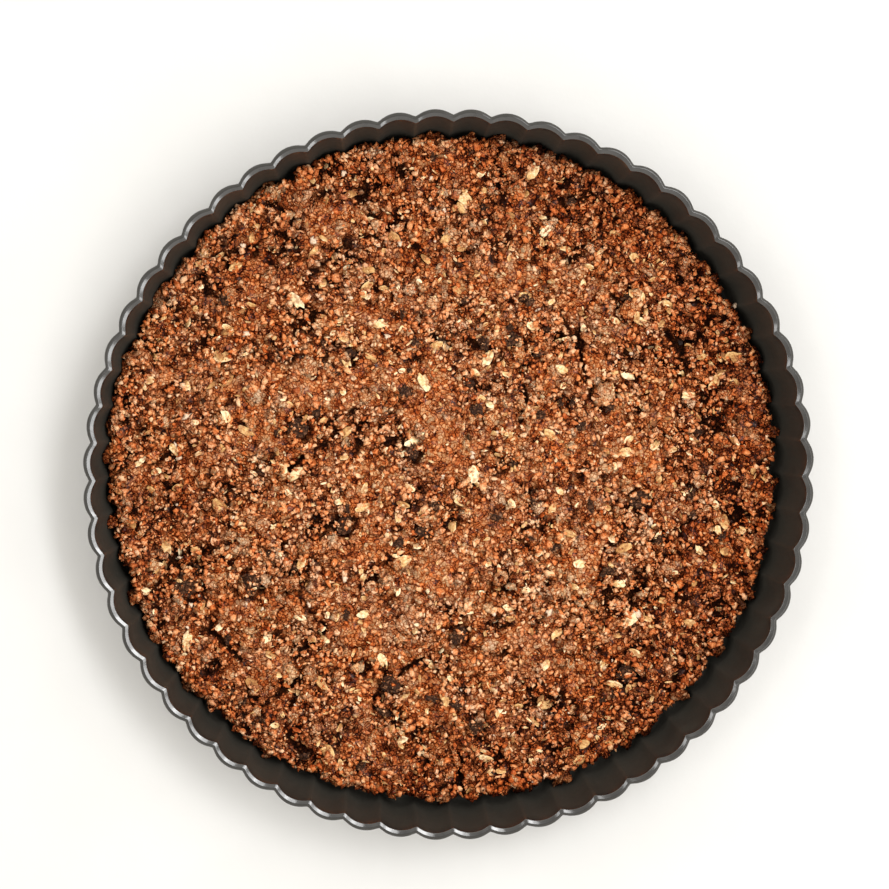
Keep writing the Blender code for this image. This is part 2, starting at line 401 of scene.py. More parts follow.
def tin_section():
    """Half of the tin's section at a ridge, over the rim to the underside, with how smooth each point is."""
    out = RIM_RADIUS - FLUTE_DEPTH
    thick = SHEET / math.cos(WALL_FLARE)
    foot, bend_top = wall_ridge(SHEET) - FOOT_IN, SHEET + FLOOR_BEND
    floor = [(r, SHEET) for r in (0.030, 0.075, 0.110, 0.122)]
    bend = [(foot, SHEET), (foot + 0.0009, SHEET + 0.0003), (wall_ridge(bend_top), bend_top)]
    top = TIN_HEIGHT - BEAD
    wall = [(wall_ridge(z) - RIM_LEAN * max(0, (z - LEAN_START) / LEAN_GROW) ** 2, z)
            for z in np.linspace(0.005, top, 8)]
    shoulder = arc((wall[-1][0] + LIP_ROUND, top + LIP_RISE), LIP_ROUND, 168, LIP_TILT, 6)
    crest = arc((out - BEAD, TIN_HEIGHT - LIP_ROUND), LIP_ROUND, LIP_TILT, 91, 3)
    # two more rows keep the slope between them flat, so that it mirrors the window as one broad streak
    slope = [tuple(np.array(shoulder[-1]) * (1 - t) + np.array(crest[0]) * t) for t in (0.08, 0.92)]
    over = shoulder + slope + crest
    edge = arc((out - BEAD, top), BEAD, 89, 0, 8)
    rolled = arc((out - BEAD * 0.6, TIN_HEIGHT - 1.4 * BEAD), BEAD * 0.6, 0, -110, 5)
    outside = [(wall_ridge(z) + thick, z) for z in np.linspace(TIN_HEIGHT - 1.95 * BEAD, FLOOR_BEND, 7)]
    under = [(foot + 0.0010, 0.0003), (foot, 0.0), (0.120, 0.0), (0.075, 0.0), (0.030, 0.0)]
    around = [floor + bend + wall[:-1], wall[-1:], over, edge + rolled, outside + under]
    return [(r, z, rub) for part, rub in zip(around, RUBS) for r, z in part]


def flute_out(angles):
    """How far the flutes push the sheet out, with their ridges rounded."""
    depth = FLUTE_DEPTH * scallop(angles)
    return np.sqrt(depth**2 + RIDGE_ROUND**2) * FLUTE_DEPTH / math.hypot(FLUTE_DEPTH, RIDGE_ROUND)


turn_angles = np.arange(TURN_STEPS) * math.tau / TURN_STEPS
rows, rubs = [], []
for radius, z, rub in tin_section():
    rubs.append(np.full(TURN_STEPS, rub))
    bulge = flute_out(turn_angles) * min(1.0, max(0.0, (radius - FLUTES_START) / FLUTES_GROW))
    rows.append(on_circle(radius + bulge, turn_angles, z))
tin_points = np.concatenate([*rows, [[0, 0, SHEET], [0, 0, 0]]])
tin_rub = np.concatenate([*rubs, [0, 0]])
floor_fan = fan(0, TURN_STEPS, len(tin_points) - 2)
under_fan = fan((len(rows) - 1) * TURN_STEPS, TURN_STEPS, len(tin_points) - 1)[:, [1, 0, 2]]
tin_triangles = np.concatenate([join_rows(len(rows), TURN_STEPS)[:, ::-1], floor_fan, under_fan])
print("tin rows", len(rows), "top", round(float(tin_points[:, 2].max()) * 1000, 2), "mm")

# %% [markdown]
# ## The tin's finish
#
# The steel has a dark, warm grey non-stick coating. On the wall it is dull, so it mirrors little of the crust
# beside it. Over the bead it is stretched tight and smooth, and there it is glossy like lacquer, which is a
# coat over the dull base. Each row of the section carries how smooth it is. The coating's colour and gloss
# vary in soft patches.

# %% Finish the tin
bench = Bench("dark_nonstick")
patches = bench.noise(0.014, 4.0, 0.6)
grain = bench.noise(0.0007, 3.0, 0.6)
rubbed = bench.carried("rub")
worn = bench.between(bench.noise(0.0035, 3.0), 0.45, 0.70)
coating = bench.mix(rubbed, bench.mix(patches, "242320", "383631"), "151413")
nonstick = bench.finish(
    Base_Color=coating,
    Roughness=0.50 + worn * 0.06 + (patches - 0.5) * 0.12,
    Specular_IOR_Level=0.22,
    Coat_Weight=rubbed * (0.95 - worn * 0.2),
    Coat_Roughness=0.12,
    Coat_IOR=1.75,
    Normal=bench.bump(grain, 0.00002),
)
tin = make_piece("tin_shell", tin_points, tin_triangles, nonstick, {"rub": tin_rub})
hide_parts("tin")

# %% [markdown]
# ## The form of the crust
#
# The crust is a crumb floor about 6 mm thick with a low bank pressed up against the flutes, higher at the
# upper left, where it climbs the wall, and falling back from the tin at the lower right. The numbers are
# the solid's own. What changes only with the angle is worked out once for each angle, and read back.

# %% Measure out the crust
CRUST_GAP = 0.0004
FLOOR_TOP = 0.0062
EDGE_TOP = 0.0106
EDGE_LEAN = 0.0016
BANK_WIDTH = 0.019
EDGE_ROUND = 0.0022
EDGE_SETBACK = 0.0012
FLUTE_FILL = 0.75
HIGH_SIDE = math.radians(140)
HIGH_SPOT = math.radians(165)
HIGH_SPOT_RISE = 0.0035
HIGH_SPOT_SPREAD = math.radians(13)
RAGGED = 0.0016
CRACK_DEPTH = 0.0025
CRACK_WIDTH = math.radians(0.9)
CRACKS = [math.radians(a) for a in (272, 262, 226, 347, 33, 71, 118, 196)]
CREST_INSET = 0.0034
LUMP_SIZE, LUMP_HEIGHT = 0.011, 0.0009
CRUMB_SIZE, CRUMB_HEIGHT = 0.0045, 0.0008
ROUND_STEPS = 2880


def wobble(x, y, size, layer=0.0):
    """Smooth noise from about -1 to 1 at each place, with features of the given size."""
    flat = zip(np.ravel(x) / size, np.ravel(y) / size)
    return np.reshape([noise.noise(Vector((a, b, layer))) * 1.6 for a, b in flat], np.shape(x))


def away_from(angles, other):
    """The angle between directions, from 0 to half a turn."""
    return np.abs((angles - other + math.pi) % math.tau - math.pi)


round_angles = np.arange(ROUND_STEPS) * math.tau / ROUND_STEPS
round_x, round_y = across(1, round_angles)
high_spot = HIGH_SPOT_RISE * np.exp(-((away_from(round_angles, HIGH_SPOT) / HIGH_SPOT_SPREAD) ** 2))
round_height = EDGE_TOP + EDGE_LEAN * np.cos(round_angles - HIGH_SIDE) + high_spot
round_height = round_height + 0.0007 * wobble(round_x * 6, round_y * 6, 1.0, 3.0)
round_back = RAGGED * np.abs(wobble(round_x, round_y, 0.035, 5.0))
round_back += EDGE_SETBACK * (1 - np.cos(round_angles - HIGH_SIDE))
for crack in CRACKS:
    round_back += CRACK_DEPTH * np.clip(1.5 - away_from(round_angles, crack) / CRACK_WIDTH, 0, 1)


def round_value(values, angles):
    """Reads a value that was worked out for each angle."""
    return np.interp(np.mod(angles, math.tau), round_angles, values, period=math.tau)


def outline(angles, z):
    """The crust's outer radius at these angles and heights."""
    flute = FLUTE_DEPTH * scallop(angles) * FLUTE_FILL
    return wall_ridge(z) + flute - CRUST_GAP - round_value(round_back, angles)


def smooth_step(t):
    """Eases from 0 to 1 as t does."""
    t = np.clip(t, 0.0, 1.0)
    return t * t * (3 - 2 * t)


def crust_top(x, y):
    """The height of the crust's surface, without its small crumbs."""
    angles = np.arctan2(y, x)
    high = round_value(round_height, angles)
    inset = outline(angles, high) - np.hypot(x, y)
    bank = smooth_step(1 - (inset - CREST_INSET) / BANK_WIDTH)
    rounding = EDGE_ROUND * (1 - smooth_step(inset / CREST_INSET))
    relief = LUMP_HEIGHT * wobble(x, y, LUMP_SIZE) + CRUMB_HEIGHT * wobble(x, y, CRUMB_SIZE, 9.0)
    return FLOOR_TOP + (high - FLOOR_TOP) * bank - rounding + relief


print("edge height in mm:", round(round_height.min() * 1000, 1), "to", round(round_height.max() * 1000, 1))

# %% [markdown]
# ## The crumb bed
#
# Baked crumb is packed grains with gaps between them, dark with shade, part of it painted. The bed is one
# mesh of rings, less than a millimetre apart. Cells of two sizes push it up and down: each cell is a rounded
# grain, and its border is a gap. Where a spoon has pressed the crumb flat, the relief is low. Elsewhere it has
# torn open as it baked, along some borders of wider, crooked cells. Round each large lump it has sunk into a
# ring-shaped dip, which the finish paints dark as shade. The loose crumbs come after, on top, so the bed lies
# a little lower where it is rough.

# %% Press the crumb bed
BIG_LUMPS = [
    (-103, -42, 14), (-79, -43, 11), (-14, 9, 8), (-59, 18, 9), (-10, -23, 7), (-41, -20, 8),
    (76, -11, 9), (35, -10, 8), (72, -80, 9), (11, -100, 8), (4, -64, 8), (-23, -83, 9),
    (72, 64, 9), (99, -25, 13), (89, -38, 10), (61, 31, 10),
]
BED_RINGS = 152
MOAT_DEPTH, MOAT_WIDTH = 0.0010, 0.0012
TEAR_DEPTH, TEAR_WIDTH = 0.0022, 0.00055
TEAR_CELLS = ((0.0105, 4.0, 0.10), (0.0062, 16.0, -0.10))
CREVICE_DEPTH = 0.0032
COARSE_GRAIN, FINE_GRAIN = 0.0044, 0.0020
COARSE_DEPTH, FINE_DEPTH = 0.0010, 0.0006


def borders(x, y, size, layer):
    """The distance to the nearest border between cells of this size, in metres."""
    found = []
    for a, b in zip(np.ravel(x) / size, np.ravel(y) / size):
        near, _ = noise.voronoi(Vector((a, b, layer)))
        found.append((near[1] - near[0]) * size / 2)
    return np.reshape(found, np.shape(x))


def grains(x, y, size, layer):
    """Rounded grains packed side by side, from 0 in the gaps to 1 on top."""
    return np.minimum(1.0, borders(x, y, size, layer) * 4.4 / size) ** 0.6


def pressed(x, y):
    """How flat the crumb is pressed, from 0 to 1: mostly towards the middle, in patches."""
    middle = 1 - (np.hypot(x, y) / 0.105) ** 2
    return smooth_step(0.38 + 0.6 * wobble(x, y, 0.022, 70.0) + 0.25 * middle)


def moats(x, y):
    """How far the bed dips round each large lump."""
    dip = np.zeros(np.shape(x))
    for lump_x, lump_y, width in BIG_LUMPS:
        gap = np.hypot(x - lump_x / 1000, y - lump_y / 1000) - width / 2000
        dip = np.maximum(dip, np.exp(-((gap / MOAT_WIDTH) ** 2)))
    return MOAT_DEPTH * dip


def tears(x, y):
    """How deep the bed is torn open: along some borders of wide, crooked cells."""
    bent_x = x + 0.0016 * wobble(x, y, 0.005, 50.0)
    bent_y = y + 0.0016 * wobble(x, y, 0.005, 55.0)
    deep = 0.0
    for size, layer, share in TEAR_CELLS:
        torn = smooth_step(share + 1.3 * wobble(x, y, size * 1.3, layer + 60.0))
        deep = np.maximum(deep, torn * np.exp(-((borders(bent_x, bent_y, size, layer) / TEAR_WIDTH) ** 2)))
    return TEAR_DEPTH * deep


SEEN_CREVICES = [
    (1.00, [(86.6, 55.5), (89.8, 50.9), (93.4, 50.9), (99.2, 54.8)]),
    (0.90, [(-88.0, 83.5), (-84.5, 80.5)]),
    (0.70, [(-93.4, -60.9), (-81.9, -72.8)]),
    (0.70, [(-22.2, -80.4), (-10.3, -72.8)]),
    (0.40, [(51.7, 50.9), (54.0, 39.1)]),
    (0.45, [(29.0, 37.7), (30.7, 29.9), (28.4, 20.3)]),
    (0.80, [(4.2, -112.0), (5.2, -128.0)]),
    (0.75, [(-63.0, 2.0), (-57.0, 7.0)]),
]


def crevices(x, y):
    """How near each place is to a crevice that shows in the photograph, from 0 to 1 in it."""
    near = np.zeros(np.shape(x))
    for width, path in SEEN_CREVICES:
        for (ax, ay), (bx, by) in zip(path, path[1:]):
            ax, ay, along_x, along_y = ax / 1000, ay / 1000, (bx - ax) / 1000, (by - ay) / 1000
            share = np.clip(((x - ax) * along_x + (y - ay) * along_y) / (along_x**2 + along_y**2), 0, 1)
            away = np.hypot(x - ax - share * along_x, y - ay - share * along_y)
            near = np.maximum(near, np.exp(-((away / width * 1000) ** 2)))
    return near


def bed_relief(x, y):
    """The bed's own relief, against the crust's smooth surface."""
    rough = 1 - 0.85 * pressed(x, y)
    coarse = COARSE_DEPTH * (grains(x, y, COARSE_GRAIN, 8.0) - 1)
    fine = FINE_DEPTH * (grains(x, y, FINE_GRAIN, 12.0) - 1)
    torn = np.maximum(tears(x, y) * (0.3 + 0.7 * rough), CREVICE_DEPTH * crevices(x, y))
    return coarse * rough + fine - torn - moats(x, y) - 0.0002 - 0.0003 * rough

# %% [markdown]
# The bed and the pile of crumbs on it are also kept as maps: heights on a square grid, half a millimetre
# apart. Reading a map is much faster than working out the noise again for each of thousands of crumbs.

# %% Map the bed
GRID_STEP = 0.0005
GRID_HALF = 272

grid_line = (np.arange(2 * GRID_HALF + 1) - GRID_HALF) * GRID_STEP
grid_x, grid_y = np.meshgrid(grid_line, grid_line)
level_map = crust_top(grid_x, grid_y)
pressed_map = pressed(grid_x, grid_y)
pile_map = level_map + bed_relief(grid_x, grid_y)
roof_map = level_map.copy()
bare_map = 0.97 * smooth_step(2 * crevices(grid_x, grid_y) - 0.3)


def read_map(values, x, y):
    """Reads a map at these places, between its points."""
    col, row = (np.clip(v / GRID_STEP + GRID_HALF, 0, 2 * GRID_HALF - 0.001) for v in (x, y))
    left, low = col.astype(int), row.astype(int)
    right_share, high_share = col - left, row - low
    lower = values[low, left] * (1 - right_share) + values[low, left + 1] * right_share
    upper = values[low + 1, left] * (1 - right_share) + values[low + 1, left + 1] * right_share
    return lower * (1 - high_share) + upper * high_share


rings = range(1, BED_RINGS + 1)
ring_angles = [np.arange(6 * ring) * math.tau / (6 * ring) for ring in rings]
bed_angles = np.concatenate([[0.0], *ring_angles])
bed_share = np.concatenate([[0.0], *[np.full(6 * ring, ring / BED_RINGS) for ring in rings]])
bed_radius = bed_share * outline(bed_angles, round_value(round_height, bed_angles) - EDGE_ROUND)
bed_x, bed_y = across(bed_radius, bed_angles)
bed_z = read_map(pile_map, bed_x, bed_y)
bed_dent = bed_z - read_map(level_map, bed_x, bed_y)
print("bed relief in mm:", round(bed_dent.min() * 1000, 2), "to", round(bed_dent.max() * 1000, 2))


def ring_triangles(rings):
    """The triangles of a disc whose ring r has 6r points."""
    found = [(0, 1 + k, 1 + (k + 1) % 6) for k in range(6)]
    start = 1
    for ring in range(1, rings):
        count, outer_count = 6 * ring, 6 * (ring + 1)
        outer = start + count
        for side in range(6):
            for k in range(ring + 1):
                far = outer + (side * (ring + 1) + k) % outer_count
                near = start + (side * ring + k) % count
                far_next = outer + (side * (ring + 1) + k + 1) % outer_count
                found.append((near, far, far_next))
                if k < ring:
                    found.append((near, far_next, start + (side * ring + k + 1) % count))
        start = outer
    return np.array(found)

# %% [markdown]
# The bed's outer side runs down to the tin's floor. It is a few rows of points under the last ring, roughened
# inward only, so that the crust never cuts into the wall beside it.

# %% Bring the crumb bed's side down
SIDE_ROWS, SIDE_RADIUS, SIDE_GRAIN = 9, 0.13, 0.0026
BED_FLOOR = SHEET + 0.0003
rim_count = 6 * BED_RINGS
rim_angles = ring_angles[-1]
rim_top = bed_z[-rim_count:]
side_points, side_dents = [], []
for row in range(1, SIDE_ROWS + 1):
    share = row / SIDE_ROWS
    z = rim_top + (BED_FLOOR - rim_top) * share
    rough = 0.0012 * (1 - grains(rim_angles * SIDE_RADIUS, z + 0.5, SIDE_GRAIN, 30.0)) + 0.0004
    tuck = FLOOR_BEND * smooth_step((share - 0.7) / 0.3)
    side_points.append(on_circle(outline(rim_angles, z) - rough - tuck, rim_angles, z))
    side_dents.append(-rough)
top_points = np.stack([bed_x, bed_y, bed_z], 1)
bed_points = np.concatenate([top_points, *side_points, [[0, 0, BED_FLOOR]]])
first_rim = len(top_points) - rim_count
side_triangles = join_rows(SIDE_ROWS + 1, rim_count)[:, ::-1] + first_rim
foot_fan = fan(first_rim + SIDE_ROWS * rim_count, rim_count, len(bed_points) - 1)[:, [1, 0, 2]]
bed_triangles = np.concatenate([ring_triangles(BED_RINGS), side_triangles, foot_fan])
# how far each point lies below the crust's smooth surface, from which the finish paints shade
bed_hollow = np.concatenate([bed_dent, *side_dents, [0.0]])
print("bed", len(bed_points), "points")

# %% [markdown]
# ## Baked crumb
#
# The crumb is cocoa and butter biscuit: warm brown, with painted light on the top of each crumb and painted
# shade at its foot and in the gaps, down to nearly black. It is baked darker towards the rim, and painted
# shade from the bank and the wall darkens it most at the right. The colour starts from two numbers that
# each crumb carries, so that neighbours differ: how light it is, and how dusty. A fat crumb is a strong
# orange brown, a dusty one has dry flour on it and is greyer. Fine noise breaks the colour up inside a crumb.
# In the bed the crumbs are stuck together, so there cells of two sizes give each crumb its own tone and its
# own tilted top, with painted shade in the seam round it. Fat has come out of some crumbs and glints, which
# is a coat over them that is thick in patches.

# %% Mix the crumb finish
CRUMB_STOPS = [(0.00, "380a00"), (0.26, "aa491b"), (0.50, "db7c40"), (0.74, "e6a873"), (1.00, "f2c698")]
DUSTY_STOPS = [(0.00, "38150a"), (0.26, "9c4f2b"), (0.50, "cd8150"), (0.74, "e0ab84"), (1.00, "f2cba8")]
# the near-black of the painted shade in the gaps
GAP_SHADE_COLOUR = "1c0700"
PACKED_CELLS = ((0.0032, 0.20, 0.18), (0.0016, 0.34, 0.36))
SEAM_SHARE, TOP_TILT = 0.13, 1.8


def baked_and_shadowed(x, y):
    """How much darker the crumb is at each place: baked darker towards the rim, with painted shade from the
    bank and the wall, most at the right.
    """
    out = smooth_step((np.hypot(x, y) - 0.070) / 0.060)
    # painted shade: the wall's shadow and the bank's slope darken the rim most at the right
    side = 0.5 + 0.5 * np.cos(np.arctan2(y, x) + math.radians(15))
    return out * (0.08 + 0.17 * side) + 0.05 * wobble(x, y, 0.03, 80.0)


def local_shade(x, y):
    """How much lighter the crumb is at each place: clump by clump, and less where it is baked dark or painted
    shaded at the rim.
    """
    return 0.13 * wobble(x, y, 0.0045, 90.0) + 0.05 * wobble(x, y, 0.011, 95.0) - baked_and_shadowed(x, y)


def local_dust(x, y):
    """How dusty the crumb is at each place, about 0."""
    return 0.60 * wobble(x, y, 0.0070, 100.0) + 0.35 * wobble(x, y, 0.022, 105.0)


def packed_crumbs(bench, size, depth):
    """Angular crumbs stuck side by side: the tone of each, painted shade in the seams between, and their tilted
    tops.
    """
    colour = bench.cells(size, output="Color")
    tone = bench.node("ShaderNodeSeparateColor", None, {0: colour})
    # the seams shape the bump, and also darken the colour as painted shade
    seams = bench.between(bench.cells(size, "DISTANCE_TO_EDGE"), 0.0, SEAM_SHARE)
    from_middle = bench.vector("SUBTRACT", bench.place, bench.cells(size, output="Position"))
    lean = bench.vector("SUBTRACT", colour, (0.5, 0.5, 0.5))
    tilt = bench.vector("DOT_PRODUCT", from_middle, lean, 1)
    return tone - 0.5, seams - 0.8, tilt * (TOP_TILT / depth)


def crumb_finish(name, bump_depth, grainy, packed):
    """Baked crumb: how deep and how strong its grain is, and whether it is many crumbs stuck together."""
    bench = Bench(name)
    fine = bench.noise(0.0006, 4.0, 0.75)
    dusty = bench.between(bench.carried("dust") + (bench.noise(0.0022, 2.0) - 0.5) * 0.7, -0.7, 1.0)
    shade = bench.carried("shade") + (fine - 0.5) * (dusty * 0.6 + grainy)
    relief = fine
    for size, own, dark in PACKED_CELLS if packed else ():
        tone, seams, tilt = packed_crumbs(bench, size, bump_depth)
        # each crumb's own tone, and painted shade along the seams
        shade = shade + tone * own + seams * dark
        relief = relief + seams * 0.7 + tilt
    # painted shade: the deeper a point lies below the crust's smooth surface, the darker its colour, down to
    # the gap shade colour
    gap = bench.between(bench.carried("hollow"), -0.0022, -0.0005, 0.93, 0.0)
    shade = shade - gap * 0.25
    crumb = bench.mix(dusty, bench.ramp(shade, CRUMB_STOPS), bench.ramp(shade, DUSTY_STOPS))
    colour = bench.mix(gap, crumb, GAP_SHADE_COLOUR)
    fat = bench.between(bench.noise(0.0030, 2.0), 0.50, 0.70) * (1 - gap)
    return bench.finish(Base_Color=colour, Roughness=0.9 - fat * 0.2, Specular_IOR_Level=0.06,
                        Coat_Weight=fat * 0.45, Coat_Roughness=0.32, Normal=bench.bump(relief, bump_depth))


bed_material = crumb_finish("pressed_crumb", 0.0008, 1.1, True)
bed_place = bed_points[:, 0], bed_points[:, 1]
bed_shade = 0.48 + 0.20 * wobble(*bed_place, 0.0030, 40.0) + local_shade(*bed_place)
bed = make_piece("crumb_bed", bed_points, bed_triangles, bed_material,
                 {"shade": bed_shade, "hollow": bed_hollow, "dust": local_dust(*bed_place) - 0.15})
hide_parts("crust")

# %% [markdown]
# ## Strewing crumbs
#
# Every loose crumb takes one of a handful of broken shapes, with its own size, turn and place. Flat shading
# keeps their sides crisp. They are dropped one by one, the largest first, each on what lies there already,
# which the pile's map tells, and each adds itself to the map. So none hangs in the air, and small ones fill
# the gaps. A spoon has pressed them: what stands higher than its headroom over the crust's smooth surface
# is squashed flat. Near the wall they are pulled in, clear of the tin, and few lie on a raisin.

# %% Shape and strew the crumbs
WALL_CLEARANCE = 0.00025
PROUD_SHARE, SQUASHED = 0.3, 0.35
# painted light and shade: the top of each crumb is drawn lighter and its foot darker
PAINTED_TOP_LIGHT, RISE_MIDDLE = 0.50, 0.62

chooser = np.random.default_rng(20)


def broken_bit(subdivisions, roughness, seed):
    """A ball of triangles with its corners pushed about, one unit across, as points and triangles."""
    mesh = bmesh.new()
    bmesh.ops.create_icosphere(mesh, subdivisions=subdivisions, radius=0.5)
    points = np.array([v.co for v in mesh.verts])
    triangles = np.array([[v.index for v in f.verts] for f in mesh.faces])
    mesh.free()
    rand = np.random.default_rng(seed)
    swell = [1 + 0.7 * roughness * noise.noise(Vector(p) * 3.0 + Vector((seed * 7.3, 0, 0))) for p in points]
    points = points * np.array(swell)[:, None]
    return points + rand.uniform(-1, 1, points.shape) * 0.16 * roughness / subdivisions, triangles


def chip(seed):
    """The smallest crumb: an uneven chip with eight sides."""
    rand = np.random.default_rng(seed)
    points = np.array([(1, 0, 0), (0, 1, 0), (-1, 0, 0), (0, -1, 0), (0, 0, 1), (0, 0, -1)]) * 0.5
    around = [(k, (k + 1) % 4) for k in range(4)]
    triangles = [(a, b, 4) for a, b in around] + [(b, a, 5) for a, b in around]
    return points + rand.uniform(-0.16, 0.16, points.shape), np.array(triangles)


def random_turns(count, tilt):
    """Turn matrices: any way round upright, and tipped over by up to tilt."""
    around, towards = chooser.uniform(0, math.tau, (2, count))
    tip = chooser.uniform(0, tilt, count)
    return np.array([Matrix.Rotation(t, 3, Vector(axis)) @ Matrix.Rotation(r, 3, "Z")
                     for t, axis, r in zip(tip, on_circle(1, towards, 0), around)])


def strewn_places(count, inset, shy=0.0):
    """Random places on the crust, this far inside its edge. shy is the share that keeps off pressed crumb."""
    angles = chooser.uniform(0, math.tau, 3 * count)
    limit = outline(angles, round_value(round_height, angles)) - inset
    x, y = across(np.sqrt(chooser.uniform(0, 1, 3 * count)) * limit, angles)
    avoid = np.maximum(shy * read_map(pressed_map, x, y), read_map(bare_map, x, y))
    kept = np.flatnonzero(chooser.uniform(0, 1, 3 * count) >= avoid)[:count]
    return x[kept], y[kept]


def keep_off_wall(points):
    """Pulls points in where they would touch the tin."""
    angles = np.arctan2(points[:, 1], points[:, 0])
    limit = wall_ridge(points[:, 2]) + FLUTE_DEPTH * scallop(angles) - WALL_CLEARANCE
    share = np.minimum(1.0, limit / np.maximum(np.hypot(points[:, 0], points[:, 1]), 1e-6))
    points[:, :2] *= share[:, None]
    return points


def strew(shapes, x, y, heights, sizes, turns):
    """Many copies of a few shapes: points, triangles, which copy each point is of, and how far up it."""
    all_points, all_triangles, owners, rises, base = [], [], [], [], 0
    kinds = chooser.integers(0, len(shapes), len(sizes))
    for kind, (points, triangles) in enumerate(shapes):
        mine = np.flatnonzero(kinds == kind)
        turned = np.einsum("nij,nkj->nki", turns[mine], points[None] * sizes[mine][:, None])
        middle = np.stack([x[mine], y[mine], heights[mine]], 1)
        all_points.append((turned + middle[:, None]).reshape(-1, 3))
        steps = base + np.arange(len(mine)) * len(points)
        all_triangles.append((triangles[None] + steps[:, None, None]).reshape(-1, 3))
        owners.append(np.repeat(mine, len(points)))
        up = turned[:, :, 2]
        low, high = up.min(axis=1, keepdims=True), up.max(axis=1, keepdims=True)
        rises.append(((up - low) / (high - low)).ravel())
        base += len(mine) * len(points)
    joined = [np.concatenate(parts) for parts in (all_points, all_triangles, owners, rises)]
    return keep_off_wall(joined[0]), *joined[1:]


def crumb_sizes(count, narrow, wide):
    """Uneven sizes: most small, a few large, each longer than it is high."""
    length = narrow + (wide - narrow) * chooser.beta(1.4, 2.2, count)
    width = length * chooser.uniform(0.5, 0.95, count)
    return np.stack([length, width, length * chooser.uniform(0.4, 0.75, count)], 1)


def roof_over(x, y, headroom):
    """The height above which crumbs are pressed flat."""
    return read_map(roof_map, x, y) + headroom * (1 - 0.7 * read_map(pressed_map, x, y))


def drop(x, y, sizes, sink, headroom):
    """Drops pieces in turn on the pile, each sunk by this share, and gives the heights of their middles."""
    middles = np.empty(len(x))
    roofs = roof_over(x, y, headroom)
    for k in range(len(x)):
        reach = (sizes[k, 0] + sizes[k, 1]) / 4
        span = int(reach / GRID_STEP) + 1
        col, row = (int(round(v / GRID_STEP)) + GRID_HALF for v in (x[k], y[k]))
        here = np.s_[row - span:row + span + 1, col - span:col + span + 1]
        away = ((grid_x[here] - x[k]) ** 2 + (grid_y[here] - y[k]) ** 2) / reach**2
        shadow = np.sqrt(np.clip(1 - away, 0, 1))
        whole = shadow.sum()
        ground = (pile_map[here] * shadow).sum() / whole if whole > 0 else pile_map[row, col]
        middles[k] = min(ground + sizes[k, 2] * (0.5 - sink), roofs[k] - sizes[k, 2] * (0.5 - PROUD_SHARE))
        covered = shadow > 0
        pile_map[here][covered] = np.maximum(pile_map[here], middles[k] + shadow * sizes[k, 2] / 2)[covered]
    return middles


def own_looks(x, y, shade, owner, rise):
    """How light and how dusty each crumb is, for each of its points, with painted light on its top and painted
    shade at its foot.
    """
    light = chooser.normal(*shade, len(x)) + local_shade(x, y)
    dust = chooser.normal(0.0, 0.16, len(x)) + local_dust(x, y)
    return {"shade": light[owner] + PAINTED_TOP_LIGHT * (rise - RISE_MIDDLE), "dust": dust[owner]}


def lay_crumbs(name, shapes, x, y, sizes, sink, tilt, shade, material, smooth=False, headroom=0.0008, thin=1.0):
    """One piece of many crumbs, dropped on the pile with the largest first. thin is a shape's own height."""
    order = np.argsort(-sizes[:, 0])
    x, y, sizes = x[order], y[order], sizes[order]
    level = read_map(level_map, x, y)
    heights = drop(x, y, sizes * (1, 1, thin), sink, headroom)
    points, triangles, owner, rise = strew(shapes, x, y, heights, sizes, random_turns(len(x), tilt))
    over = np.maximum(0.0, points[:, 2] - roof_over(points[:, 0], points[:, 1], headroom))
    points[:, 2] -= over * (1 - SQUASHED)
    # hollow is how far each point lies below the crust's smooth surface; the finish paints shade from it
    carries = {**own_looks(x, y, shade, owner, rise), "hollow": points[:, 2] - level[owner]}
    return make_piece(name, points, triangles, material, carries, smooth)


def scatter(name, shapes, count, inset, shy, narrow, wide, *looks, **more):
    """One piece of this many crumbs, from narrow to wide in length, strewn at random."""
    x, y = strewn_places(count, inset, shy)
    return lay_crumbs(name, shapes, x, y, crumb_sizes(count, narrow, wide), *looks, **more)


crumb_material = crumb_finish("loose_crumb", 0.0004, 1.0, False)
clump_shapes = [broken_bit(2, 1.7, seed) for seed in range(14)]
crumb_shapes = [broken_bit(1, 1.2, seed) for seed in range(14)]
chip_shapes = [chip(seed) for seed in range(12)]

# %% [markdown]
# ## The solid's own toppings
#
# The solid carries the largest pieces fused on: rolled oats, clumps of crumb, and dark lumps, which are
# raisins. Their places come from a seeded draw. The same draw is made here, in the same order, so that each
# comes back where it was, as the thing it stands for.

# %% Find the solid's toppings
FLAKES, CLUMPS = 45, 24
LUMP_FLATNESS, STANDS_PROUD = 0.45, 0.0011
GOLDEN_TURN = math.pi * (3 - math.sqrt(5))
LUMP_DRAWS = 12


def solid_toppings():
    """The solid's pieces, as (kind, x, y, length, width, tilt, turn)."""
    rand = random.Random(12)
    reach = wall_ridge(FLOOR_TOP) - 0.0070
    kinds = ["flake"] * FLAKES + ["clump"] * CLUMPS
    rand.shuffle(kinds)
    spots = []
    for k in range(len(kinds)):
        radius = reach * math.sqrt((k + 0.5) / len(kinds)) + rand.uniform(-1, 1) * 0.003
        angle = k * GOLDEN_TURN + rand.uniform(-1, 1) * 0.05
        spots.append((radius * math.cos(angle), radius * math.sin(angle)))
    pieces = [("lump", (x / 1000, y / 1000), width / 1000) for x, y, width in BIG_LUMPS]
    pieces += [(kind, spot, rand.uniform(0.0050, 0.0080)) for kind, spot in zip(kinds, spots)]
    found = []
    for kind, spot, length in pieces:
        turn, tilt = rand.uniform(0, math.tau), (rand.uniform(-0.25, 0.25), rand.uniform(-0.25, 0.25))
        if kind == "flake":
            length = rand.uniform(0.0065, 0.0100)
            width = length * rand.uniform(0.62, 0.78)
        else:
            for _ in range(LUMP_DRAWS):  # the solid's lump draws its corners here
                rand.uniform(0.85, 1.15)
            width = length * rand.uniform(0.7, 0.95)
        found.append((kind, *spot, length, width, tilt, turn))
    return found


